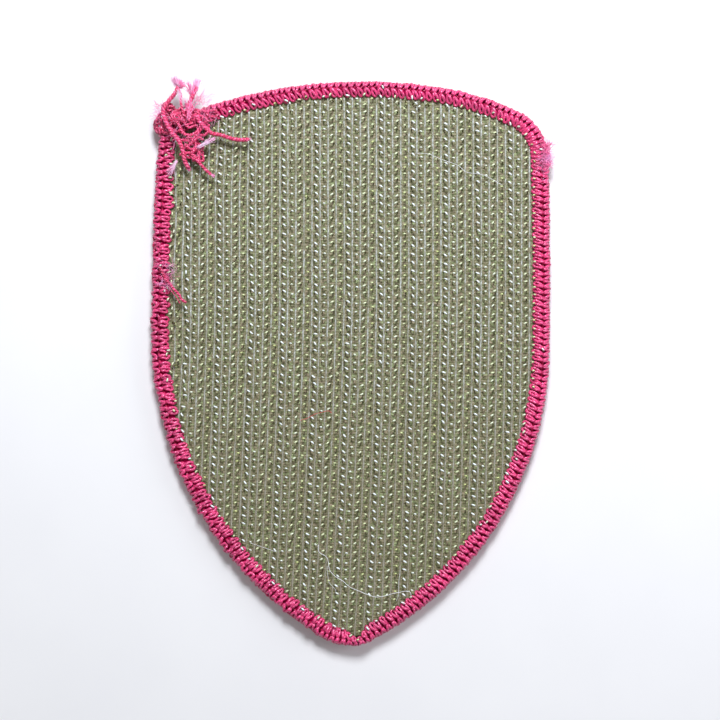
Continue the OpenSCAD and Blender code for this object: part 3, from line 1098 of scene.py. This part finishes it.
frayed_tips = strands_piece("frayed_tips", all_of(fan, PALE_TIPS))
tail_fuzz = strands_piece("tail_fuzz", all_of(fan, PINK_TIPS) + all_of(fuzz, FUZZ))
pale_fuzz = fuzz_finish("pale_fuzz", (0.93, 0.42, 0.66, 1), (0.97, 0.76, 0.93, 1))
pale_fuzz.cover(frayed_tips)
pink_fuzz = fuzz_finish("pink_fuzz", (0.95, 0.16, 0.4, 1), (0.98, 0.46, 0.8, 1))
pink_fuzz.cover(tail_fuzz)
for piece in (knot, frayed_tips, tail_fuzz):
    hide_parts("knotted_tail")


# Loose thread on the left edge, pulled out of the border, and the fuzz round it and on the right
# corner. Rows as for the tail.
LOOSE_THREADS = (
    (0.62, (-36.3, 18.3, 3.2), (-35.6, 17.1, 3.5), (-35.0, 15.9, 3.7), (-34.3, 15.1, 3.8),
     (-33.5, 14.1, 3.9), (-32.5, 13.0, 3.9), (-32.0, 12.1, 3.9), (-31.1, 11.45, 3.85)),
    (0.24, (-34.6, 14.6, 3.6), (-33.6, 13.3, 3.85), (-32.9, 12.4, 3.85), (-32.3, 11.3, 3.8)),
)
EDGE_FUZZ = (
    ((-35.0, 16.6, 3.5), (1.6, 2.2, 0.2), (0, 0, 0), 100, 1.8, 0.3, 0.05),
    ((36.9, 39.3, 3.0), (0.8, 2.2, 0.4), (0.3, 0.1, 0), 400, 1.3, 0.4, 0.075),
    ((36.5, 38.4, 3.3), (0.8, 4.2, 0.2), (0, 0, 0), 70, 1.6, 0.35, 0.05),
    ((37.7, 40.6, 3.0), (0.4, 1.0, 0.3), (0.7, 0.8, 0), 8, 3.6, 0.25, 0.04),
)
EDGE_FUZZ_LOW = 0.4
loose = strands_piece("loose_threads", plied_all(LOOSE_THREADS))
tail.cover(loose)
edge_fuzz = strands_piece("edge_fuzz", all_of(fuzz, EDGE_FUZZ, EDGE_FUZZ_LOW))
pink_fuzz.cover(edge_fuzz)
for piece in (loose, edge_fuzz):
    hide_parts("stitched_border")


# Lint: a few hairs and fibres that the hooks have caught, lying on their tips. A row is a thickness
# and the places on the hooks.
HAIRS = (
    (0.10, (-6.2, -34.3), (-6.0, -35.7), (-4.5, -36.8), (-4.0, -39.1), (-2.8, -40.4), (-1.5, -41.2),
     (-0.2, -42.3), (1.6, -43.1), (3.3, -43.8), (4.8, -44.2), (6.4, -44.0), (7.8, -43.6),
     (9.2, -43.3), (10.5, -43.1), (11.2, -43.3), (11.4, -44.0)),
    (0.06, (-4.5, -38.3), (-4.3, -40.6), (-4.0, -41.6), (-3.0, -42.7), (-2.8, -43.4)),
    (0.06, (9.3, -39.7), (9.0, -41.7), (9.0, -43.6), (8.6, -45.0)),
    (0.07, (12.2, 39.8), (14.7, 39.6), (17.1, 38.6), (20.2, 37.5), (21.9, 36.2), (25.1, 35.6),
     (28.7, 33.7)),
    (0.06, (-19.0, -34.0), (-16.9, -34.7), (-14.0, -35.7)),
)
RED_FIBRE = (0.09, (-9.7, -10.8), (-8.3, -10.4), (-6.8, -9.6), (-5.3, -9.2), (-4.2, -9.0), (-3.6, -9.4))
LINT_OVER_HOOKS = 0.06
HAIR_STEPS = 6
HAIR_SIDES = 4


def hair(thick, *places):
    """One hair that lies on the tips of the hooks."""
    height = GROUND_TOP + HOOK_H + LINT_OVER_HOOKS
    line = smooth_route([(x, y, height) for x, y in places], HAIR_STEPS)
    return tube(line, thick / 2, thick / 2, HAIR_SIDES)


hairs = strands_piece("white_hairs", [hair(*row) for row in HAIRS])
red_fibre = strands_piece("red_fibre", [hair(*RED_FIBRE)])
Finish("white_lint", Base_Color=(0.85, 0.87, 0.9, 1), Roughness=0.5).cover(hairs)
Finish("red_lint", Base_Color=(0.6, 0.06, 0.08, 1), Roughness=0.6).cover(red_fibre)
for piece in (hairs, red_fibre):
    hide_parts("hook_field")
